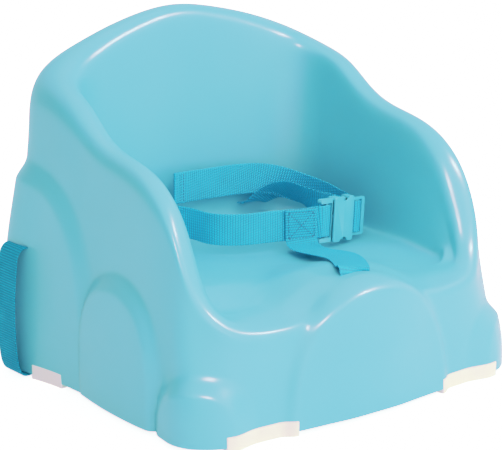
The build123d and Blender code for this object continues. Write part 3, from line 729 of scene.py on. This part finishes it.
# ---------------------------------------------------------------- non-slip pads
def build_pad(name, axis, ends, sx, node):
    """A bar along the shell's foot, with rounded edges and ends and a ribbed underside."""
    count = 60
    outer = foot_run(axis, ends, count, 0.5)
    inner = foot_run(axis, ends, count, -9.0)
    middle = (outer + inner) / 2
    outward = unit(outer - inner)
    width = np.linalg.norm(outer - inner, axis=1)
    arc = arc_length(middle)
    height = PAD_DROP + PAD_H
    near_end = np.array([0, 0.12, 0.35, 0.7, PAD_ROUND])
    along = np.r_[near_end, np.linspace(PAD_ROUND, arc[-1] - PAD_ROUND, count),
                  arc[-1] - near_end]
    rings = []
    for q in np.unique(along):
        m = sample(q, arc, middle)
        d = unit(sample(q, arc, outward))
        to_end = min(q, arc[-1] - q)
        drop = PAD_ROUND - min(to_end, PAD_ROUND)
        shrink = PAD_ROUND - math.sqrt(max(PAD_ROUND ** 2 - drop ** 2, 0.0))
        profile = rounded_rect(np.interp(q, arc, width) - 2 * shrink, height - 2 * shrink,
                               max(PAD_ROUND - shrink, 0.05), 5)
        ring = np.stack([m[0] + d[0] * profile[:, 0], m[1] + d[1] * profile[:, 0],
                         height / 2 + profile[:, 1]], 1)
        if to_end > 2:
            # shallow grip ribs, 0.35 deep at a pitch of 3.2
            low = np.clip((1.4 - ring[:, 2]) / 1.4, 0, 1)
            ring[:, 2] += low * 0.35 * (0.5 - 0.5 * math.cos(q * 2 * math.pi / 3.2))
        rings.append(ring)
    rings = np.array(rings) * (sx, 1, 1)
    k = rings.shape[1]
    caps = np.array([np.arange(k)[::-1], np.arange(k) + (len(rings) - 1) * k])
    o = make_mesh(name, rings.reshape(-1, 3), [grid_faces(len(rings), k, True), caps], mat_pad,
                  smooth=50, merge=0.001)
    place(o, "seat", node)


for sx, side in ((1, "right"), (-1, "left")):
    build_pad("grip_pad_front_" + side, 0, FRONT_PAD, sx, "front_%s_pad" % side)
    build_pad("grip_pad_rear_" + side, 1, REAR_PAD, sx, "rear_%s_pad" % side)


# ---------------------------------------------------------------- buckles, keeper and anchors
def refine(node, body, rounding):
    """A copy of a CAD node with its flat faces joined up and its edges rounded (mm)."""
    name = node + "_part"
    bm = bmesh.new()
    bm.from_mesh(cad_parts[node].data)
    bmesh.ops.remove_doubles(bm, verts=bm.verts, dist=1e-6)
    bmesh.ops.dissolve_limit(bm, angle_limit=math.radians(1.5), verts=bm.verts, edges=bm.edges)
    sharp = [e for e in bm.edges
             if len(e.link_faces) == 2 and e.calc_face_angle(0) > math.radians(38)]
    bmesh.ops.bevel(bm, geom=sharp, offset=rounding * MM, offset_type="OFFSET", segments=3,
                    profile=0.5, affect="EDGES", clamp_overlap=True)
    bmesh.ops.recalc_face_normals(bm, faces=bm.faces)
    me = bpy.data.meshes.new(name)
    bm.to_mesh(me)
    bm.free()
    me.materials.clear()      # also puts every face back in the first slot
    me.materials.append(mat_buckle)
    o = add_object(name, me)
    finish_shading(o, smooth=35)
    place(o, body, node)


for buckle, arms in (("waist", ("upper", "lower")), ("chair", ("front", "rear"))):
    for half in ("plug", "socket"):
        refine(f"{buckle}_buckle_{half}", "seat", rounding=0.45)
    for arm in arms:
        refine(f"{buckle}_release_{arm}", f"{buckle}_{arm}_arm", rounding=0.35)
refine("chair_strap_keeper", "keeper", rounding=0.5)
for anchor in ("waist_anchor_right", "waist_anchor_left", "crotch_anchor",
               "chair_anchor_right", "chair_anchor_left"):
    refine(anchor, "seat", rounding=0.3)

# ---------------------------------------------------------------- courses of the straps
# Waist buckle: middle, direction along it, and the normal of its face towards the front
buckle_middle = at(68.8, -10.3, 130.7)
buckle_along = unit((0.9926, 0.0921, -0.0787))
buckle_normal = np.array((0.0935, -0.9955, 0.0141))
buckle_normal = unit(buckle_normal - buckle_along * (buckle_normal @ buckle_along))


def course(points):
    """Points (x, y, z) of the shell's frame, or (along, normal) of the waist buckle."""
    return [at(*p) if len(p) == 3 else
            buckle_middle + buckle_along * p[0] + buckle_normal * p[1] for p in points]


def chair_course(points):
    """Points (x, z) in the plane of the chair straps."""
    return [at(x, CHAIR_Y, z) for x, z in points]


# Beside each course stands the direction of the webbing's width at each point
UP = (0, 0, 1)
BUCKLE_UP = (0.077, 0.021, 0.997)

# (y, z) of the loop round a waist anchor behind its slot, common to both waist straps
WAIST_LOOP = [(121.5, 117.2), (126, 117.3), (131, 118.2), (134.2, 119.8), (135.4, 122),
              (134.2, 124.2), (131, 125.8), (127, 124.9), (121, 122.5)]

left_points = course([(-WAIST_X, y, z) for y, z in WAIST_LOOP] + [
    (-74, 112, 122.2), (-73, 103, 123.4), (-69.5, 94, 126), (-62, 85, 129),
    (-52.5, 76, 130.5), (-44, 66, 130.5), (-39.5, 53, 130), (-37.3, 40, 129.5),
    (-32, 29.5, 129.5), (-23, 21, 129.5), (-10, 13.8, 129.5), (5, 9, 129.6), (18, 5, 129.7),
    (30, 0, 129.9), (41, -5.5, 130.2), (49.5, -9, 130.8),
    # round the near bar of the buckle
    (-13, 2.9), (-9, 2.9), (-6.6, 2.9), (-4.3, 2.3), (-3.2, 0), (-4.3, -2.3), (-6.6, -2.9),
    (-10, -2.5), (-15, -0.9)])
left_widths = ([(1, 0, 0)] * 10
               + [(0.97, 0, 0.2), (0.8, 0.2, 0.5), (0.55, 0.2, 0.8), (0.2, 0, 1)]
               + [UP] * 10 + [BUCKLE_UP] * 10)

right_points = course([(WAIST_X, y, z) for y, z in WAIST_LOOP] + [
    (74, 111, 122.2), (79, 104, 127), (85, 97, 132), (89.5, 85, 135), (91.5, 73, 136.6),
    (91, 58, 136), (90.8, 40, 133), (93.5, 24, 130.8), (96.5, 9, 129.6),
    # round the far bar of the buckle
    (28.9, -9), (29.2, -3), (29.3, 0), (30.2, 2.3), (32, 3.0), (35.3, 3.0), (37.1, 2.3),
    (38.0, 0), (38.2, -3), (39.0, -9),
    # free tail along the back of the tub
    (109.5, 10, 128.8), (112, 24, 130), (113.2, 41, 132), (111.5, 60, 134.4), (104, 78, 138),
    (91, 92, 143), (74, 99, 147), (54, 101, 149.5), (30, 101, 151), (5, 100.5, 152),
    (-18, 100, 153),
    # folded and sewn hem
    (-28.2, 100, 153.4), (-29.6, 99.9, 153.4), (-30.4, 99.1, 153.4), (-29.6, 98.3, 153.4),
    (-28.2, 98.15, 153.4), (-22, 98.15, 153.3), (-17.6, 98.25, 153.2)])
right_widths = ([(-1, 0, 0)] * 10
                + [(-0.975, -0.02, 0.22), (-0.88, -0.1, 0.47), (-0.74, 0.02, 0.67),
                   (-0.62, 0, 0.78), (-0.5, 0, 0.86), (-0.28, 0, 0.96), (-0.08, 0, 1), UP]
                + [BUCKLE_UP] * 10 + [UP] * 18)

crotch_points = course([
    (36.6, -5.9, 145.0), (36.7, -5.9, 138), (36.9, -5.9, 129), (37.0, -6.1, 120),
    (36.9, -7.0, 115.4), (36.2, -9.6, 112.9), (35, -14, 111.7), (33.9, -22, 111.3),
    (32.4, -33, 112.2), (30.5, -47, 114.4), (28.6, -61, 116.6), (25.5, -76, 118.6),
    (18, -93, 120.4), (9.5, -107, 121.7), (4, -115.5, 122.2), (1, -119.6, 121.2),
    # down through the slot and round the anchor under it
    (0, -121.2, 118.4), (0, -121.6, 108), (0, -122, 98.4), (0, -120.7, 95.0), (0, -118, 93.6),
    (0, -115.3, 95.0), (0, -114.2, 98.4), (0, -115.6, 103), (0, -117.4, 107),
    (0, -118.4, 111)])
crotch_widths = ([(0.907, -0.42, 0)] * 7
                 + [(0.93, -0.35, 0), (0.95, -0.29, 0), (0.98, -0.17, 0), (1, -0.05, 0)]
                 + [(1, 0, 0)] * 15)

# (x, z) from the loop inside the side wall, out of the slot and down under the seat
CHAIR_SIDE = [
    (161, 114.2), (156.5, 114.2), (153, 115.4), (151.4, 118.8), (153, 122.2), (156.5, 123.2),
    (162, 121.4), (168, 119.4), (180, 119.0), (189.6, 118.6), (193.6, 114.5), (196.2, 103),
    (197.8, 88), (199.0, 71), (199.4, 52), (198.8, 31), (197.2, 14), (194.4, 3.4),
    (190.6, -1.1), (184, -1.75), (166, -1.7), (140, -1.7)]
chair_right_points = chair_course(CHAIR_SIDE + [
    (125, -0.6), (112, 0.4), (90, 0.8), (60, 0.9), (42, 1.1), (30, 1.5), (26.6, 1.7),
    (24.7, 2.8), (24.0, 5.0), (23.1, 7.3), (21.3, 8.0), (18.0, 8.0), (16.2, 7.3),
    (15.3, 5.0), (15.4, 1.6), (16.8, -0.6), (21.0, -1.6), (40, -1.7), (66, -1.7)])
chair_left_points = chair_course([(-x, z) for x, z in CHAIR_SIDE] + [
    (-110, -1.2), (-70, 0.2), (-40, 1.6), (-28, 1.9), (-23, 2.1), (-20.6, 2.1),
    (-18.3, 2.7), (-17.2, 5.0), (-18.3, 7.3), (-20.6, 7.9), (-24, 7.5), (-30, 5.6),
    (-38, 4.4), (-46, 4.0)])


# ---------------------------------------------------------------- webbing
def ribbon_path(points, widths, step):
    """Smooth run through the points: positions, width directions, normals, arc length."""
    points = np.array(points)
    chord = arc_length(points)
    count = int(chord[-1] / step)
    fine = np.linspace(0, chord[-1], count * 4)
    spline = cubic(chord, points, fine)
    fine_arc = arc_length(spline)
    arc = np.linspace(0, fine_arc[-1], count)
    pos = sample(arc, fine_arc, spline)
    wid = sample(np.interp(arc, fine_arc, fine), chord, unit(widths))
    # the width direction is evened out over 9 rows
    kernel = np.hanning(11)[1:-1]
    kernel /= kernel.sum()
    padded = np.concatenate([np.repeat(wid[:1], 4, 0), wid, np.repeat(wid[-1:], 4, 0)])
    wid = np.stack([np.convolve(column, kernel, "valid") for column in padded.T], 1)
    run = unit(np.gradient(pos, axis=0))
    wid = unit(wid - run * (wid * run).sum(1)[:, None])
    return pos, wid, np.cross(run, wid), arc


def weave_height(along, across):
    """The same weave as in the webbing's material, from 0 to 1."""
    ribs = along / RIB
    index = np.floor(ribs)
    rib = (ribs - index) * 2 - 1
    yarns = across / CELL + 0.5 * (np.abs(index) % 2)
    yarn = (yarns - np.floor(yarns)) * 2 - 1
    return (1 - rib ** 2) ** 0.6 * (1 - yarn ** 2) ** 0.8


def ribbon(name, node, points, widths, material, groove=None):
    """Woven webbing as a closed strip: relief on both faces, rounded selvedges.

    groove(along, across) gives the depth of sewn grooves. Returns the ribbon's path."""
    path = ribbon_path(points, widths, step=0.6)
    pos, wid, nor, s = path
    half_w = WEBBING_W / 2
    across = np.linspace(-half_w + 0.5, half_w - 0.5, 74)
    along = s[:, None]
    stitch_phase = s * 2 * math.pi / 1.5          # the selvedge ripples every 1.5 mm
    height = weave_height(along, across[None, :]) * RELIEF
    selvedge = np.clip((np.abs(across) - 13.0) / 1.0, 0, 1)[None, :]
    ripple = RELIEF * (0.55 + 0.45 * np.sin(stitch_phase[:, None]))
    height = height * (1 - selvedge) + selvedge * ripple
    if groove:
        height = height - groove(along, across[None, :])
    taper = 1 - 0.25 * np.clip((np.abs(across) - 13.6) / 0.9, 0, 1)[None, :] ** 2
    lift = ((WEBBING_T / 2 - RELIEF) * taper + height)[..., None] * nor[:, None, :]
    flat = pos[:, None, :] + wid[:, None, :] * across[None, :, None]
    front, back = flat + lift, flat - lift
    high_edge = pos + wid * (half_w - 0.05 + 0.07 * np.sin(stitch_phase))[:, None]
    low_edge = pos - wid * (half_w - 0.05 + 0.07 * np.sin(stitch_phase + 1))[:, None]
    loop = np.concatenate([front, high_edge[:, None], back[:, ::-1], low_edge[:, None]], 1)
    rows, k = loop.shape[:2]
    v = np.concatenate([across, [half_w], across[::-1], [-half_w]])
    uv = np.stack(np.broadcast_arrays(along, v[None, :]), -1)

    c = len(across)
    i = np.arange(c - 1)
    cap = np.stack([i, i + 1, 2 * c - 1 - i, 2 * c - i], 1)
    corners = np.array([[c - 1, c, c + 1], [2 * c, 2 * c + 1, 0]])
    last = (rows - 1) * k
    faces = [grid_faces(rows, k, True), cap[:, ::-1], cap + last,
             corners[:, ::-1], corners + last]
    o = make_mesh(name, loop.reshape(-1, 3), faces, material, smooth=70, uv=uv.reshape(-1, 2))
    bm = bmesh.new()
    bm.from_mesh(o.data)
    bmesh.ops.recalc_face_normals(bm, faces=bm.faces)
    bm.to_mesh(o.data)
    bm.free()
    place(o, "seat", node)
    return path


def stitches(name, runs, radius=0.26, length=2.0, gap=0.9):
    """Rows of sewn thread, one for each (start, end, normal); a stitch is an arched capsule."""
    rows, sides = 9, 8
    verts, faces, count = [], [], 0
    ends = np.array([[0, 1, 2, 3], [0, 3, 4, 7], [4, 5, 6, 7]])
    angles = np.linspace(0, 2 * math.pi, sides, endpoint=False)
    for start, end, normal in runs:
        normal = unit(normal)
        total = np.linalg.norm(end - start)
        d = (end - start) / total
        side = np.cross(d, normal)
        number = int(total / (length + gap))
        pitch = total / number
        for i in range(number):
            middle = start + d * pitch * (i + 0.5) + side * rng.uniform(-0.05, 0.05)
            for q in np.linspace(-1, 1, rows):
                r = radius * math.sqrt(max(1 - q ** 4, 0.02))
                arch = 0.22 * (1 - q * q) - 0.12
                centre = middle + d * q * (pitch - gap) / 2 + normal * arch
                verts.append(centre + np.cos(angles)[:, None] * side * r
                             + np.sin(angles)[:, None] * normal * r)
            faces.append(grid_faces(rows, sides, True, count))
            faces.append(ends[:, ::-1] + count)
            faces.append(ends + count + (rows - 1) * sides)
            count += rows * sides
    o = make_mesh(name, np.concatenate(verts), faces, mat_thread, smooth=60)
    place(o, "seat")


# square with a cross, sewn in the top of the crotch strap
BOX_MIDDLE = 15.2         # from the strap's upper end
BOX_HALF = 12.2


def box_groove(along, across):
    a, b = along - BOX_MIDDLE, across
    inside = (np.abs(a) < BOX_HALF + 1) & (np.abs(b) < BOX_HALF + 1)
    line = np.minimum(np.abs(np.abs(a) - BOX_HALF), np.abs(np.abs(b) - BOX_HALF))
    line = np.minimum(line, np.minimum(np.abs(a - b), np.abs(a + b)) / 1.414)
    return 0.30 * np.exp(-(line / 0.75) ** 2) * inside


def on_ribbon(path, along, across, lift):
    """A point over the ribbon's front face, and the normal there."""
    pos, wid, nor, s = path
    normal = unit(sample(along, s, nor))
    return sample(along, s, pos) + unit(sample(along, s, wid)) * across + normal * lift, normal


ribbon("waist_strap_left_web", "waist_strap_left", left_points, left_widths, mat_web)
ribbon("waist_strap_right_web", "waist_strap_right", right_points, right_widths, mat_web)
crotch_path = ribbon("crotch_strap_web", "crotch_strap", crotch_points, crotch_widths, mat_web,
                     groove=box_groove)

corner = {}
for a in (-1, 1):
    for b in (-1, 1):
        corner[a, b], box_normal = on_ribbon(crotch_path, BOX_MIDDLE + a * BOX_HALF,
                                             b * BOX_HALF, WEBBING_T / 2 - 0.12)
stitches("box_stitching", [(corner[start], corner[end], box_normal) for start, end in (
    ((-1, -1), (-1, 1)), ((1, -1), (1, 1)), ((-1, -1), (1, -1)),
    ((-1, 1), (1, 1)), ((-1, -1), (1, 1)), ((-1, 1), (1, -1)))])
stitches("hem_stitching", [(at(x, 97.5, 153.2 - 13.6), at(x, 97.5, 153.2 + 13.6), (0, -1, 0))
                           for x in (-24.0, -20.6)])

# the chair straps take the darker copy of the webbing: painted shade
for side, points in (("right", chair_right_points), ("left", chair_left_points)):
    ribbon(f"chair_strap_{side}_web", f"chair_strap_{side}", points, [(0, 1, 0)] * len(points),
           mat_web_painted_shade)


# ---------------------------------------------------------------- camera
azimuth, elevation, roll = (math.radians(a) for a in (38.774, 15.744, -0.273))
forward = np.array([math.sin(azimuth) * math.cos(elevation),
                    math.cos(azimuth) * math.cos(elevation), -math.sin(elevation)])
level_right = np.array([math.cos(azimuth), -math.sin(azimuth), 0.0])
level_up = np.cross(level_right, forward)
eye = (at(0, 0, 130) + level_right * -13.716 + level_up * 4.735 - forward * 1965.743) * MM
camera_right = math.cos(roll) * level_right - math.sin(roll) * level_up
camera_up = math.sin(roll) * level_right + math.cos(roll) * level_up
camera_data = bpy.data.cameras.new("camera")
camera_data.sensor_width = 36.0
camera_data.sensor_fit = "HORIZONTAL"
camera_data.lens = 154.189291
camera_data.clip_start = 0.05
camera_data.clip_end = 60.0
camera = add_object("camera", camera_data)
axes = np.column_stack([camera_right, camera_up, -forward, eye])
camera.matrix_world = Matrix(axes.tolist() + [[0, 0, 0, 1]])
scene.camera = camera


# ---------------------------------------------------------------- floor and backdrop
def floor_material():
    m = Nodes("studio_floor")
    cloud = m.noise(m.where(), scale=6.0, detail=2.0)
    colour = m.mix(cloud, srgb((238, 238, 239)), srgb((242, 242, 242)))
    m.set(Base_Color=colour, Roughness=0.6, Specular_IOR_Level=0.2)
    # the camera sees the floor glow more strongly than the seat does
    seen = m.new("ShaderNodeLightPath").outputs["Is Camera Ray"]
    m.set(Emission_Color=(1, 1, 1, 1),
          Emission_Strength=m.ramp(seen, span=(0.0, 1.0), to=(0.30, 1.45)))
    return m.mat


def build_floor():
    """One sheet, in metres: a floor that curves up into a backdrop behind the seat."""
    back = unit((forward[0], forward[1], 0.0))
    side = np.array([back[1], -back[0], 0.0])
    profile = [(q, 0.0) for q in np.linspace(-5.0, 3.0, 40)]
    for a in np.linspace(0, math.pi / 2, 24)[1:]:
        profile.append((3.0 + 2.0 * math.sin(a), 2.0 - 2.0 * math.cos(a)))
    profile += [(5.0, h) for h in np.linspace(2.3, 7.0, 12)]
    grid = np.array([[back * q + side * x + np.array([0, 0, h]) for x in np.linspace(-6, 6, 25)]
                     for q, h in profile])
    floor = make_mesh("studio_floor", grid.reshape(-1, 3) / MM, [grid_faces(len(profile), 25)],
                      floor_material(), smooth=180)


build_floor()


# ---------------------------------------------------------------- lights (metres, watts)
def area(name, direction, distance, size, power, size_y=None):
    """An area light aimed at the seat from a direction."""
    aim = np.array([0.0, 0.0, 0.16])
    where = aim + unit(direction) * distance
    data = bpy.data.lights.new(name, "AREA")
    data.energy = power
    data.shape = "RECTANGLE"
    data.size = size
    data.size_y = size_y or size
    o = add_object(name, data)
    o.location = where
    o.rotation_mode = "QUATERNION"
    o.rotation_quaternion = (Vector(aim) - Vector(where)).to_track_quat("-Z", "Y")
    return o


KEY = dict(direction=(0.45, -0.62, 0.60), distance=1.75)
FRONT_LEFT = dict(direction=(-0.36, -0.80, 0.50), distance=1.9)
area("key", **KEY, size=0.42, power=5.5)
area("front_left", **FRONT_LEFT, size=0.36, power=4.0)
area("front_panel", direction=(0.18, -1.0, 0.16), distance=1.9, size=1.5, power=5.5, size_y=1.0)
area("overhead", direction=(0.10, 0.10, 1.0), distance=2.0, size=1.7, power=10.0)
area("sky_right", direction=(1.0, -0.15, 0.35), distance=2.2, size=1.6, power=3.0)
area("sky_left", direction=(-0.60, -0.45, 1.0), distance=2.1, size=1.3, power=2.5)

# these two add only to the reflections
for name, position in (("highlight_right", KEY), ("highlight_left", FRONT_LEFT)):
    light = area(name, **position, size=0.38, power=17.0)
    light.visible_diffuse = False
    light.visible_transmission = False


def build_world():
    """White surroundings that darken towards -X."""
    world = bpy.data.worlds.new("world")
    scene.world = world
    world.use_nodes = True
    tree = world.node_tree
    background = tree.nodes["Background"]
    background.inputs[0].default_value = (1, 1, 1, 1)
    coord = tree.nodes.new("ShaderNodeTexCoord")
    dot = tree.nodes.new("ShaderNodeVectorMath")
    dot.operation = "DOT_PRODUCT"
    tree.links.new(coord.outputs["Generated"], dot.inputs[0])
    dot.inputs[1].default_value = unit((-1.0, 0.25, -0.15))
    fall = tree.nodes.new("ShaderNodeMapRange")
    fall.interpolation_type = "SMOOTHSTEP"
    tree.links.new(dot.outputs["Value"], fall.inputs["Value"])
    for name, value in (("From Min", 0.15), ("From Max", 0.85), ("To Min", 0.82),
                        ("To Max", 0.0)):
        fall.inputs[name].default_value = value
    tree.links.new(fall.outputs["Result"], background.inputs[1])


build_world()

# ---------------------------------------------------------------- camera response
# (scene value, shown value) for red, green and blue: a soft shoulder in the bright tones,
# with pure white kept white
RESPONSE = (
    ((0, 0), (0.06, 0.075), (0.14, 0.18), (0.28, 0.295), (0.40, 0.43), (0.55, 0.60),
     (0.72, 0.69), (0.85, 0.74), (1.1, 0.82), (1.5, 0.93), (2.0, 1.0)),
    ((0, 0), (0.2, 0.28), (0.371, 0.49), (0.45, 0.535), (0.56, 0.59), (0.72, 0.63),
     (0.85, 0.665), (1.1, 0.76), (1.5, 0.93), (2.0, 1.0)),
    ((0, 0), (0.3, 0.42), (0.5, 0.62), (0.6, 0.68), (0.72, 0.715), (0.85, 0.745),
     (1.0, 0.775), (1.2, 0.83), (1.5, 0.93), (2.0, 1.0)),
)
view = scene.view_settings
view.view_transform = "Standard"
view.look = "None"
view.use_curve_mapping = True
mapping = view.curve_mapping
mapping.use_clip = False
mapping.extend = "HORIZONTAL"
for i, points in enumerate(RESPONSE):
    curve = mapping.curves[i]
    curve.points[0].location = points[0]
    curve.points[1].location = points[-1]
    for point in points[1:-1]:
        curve.points.new(*point)
mapping.update()
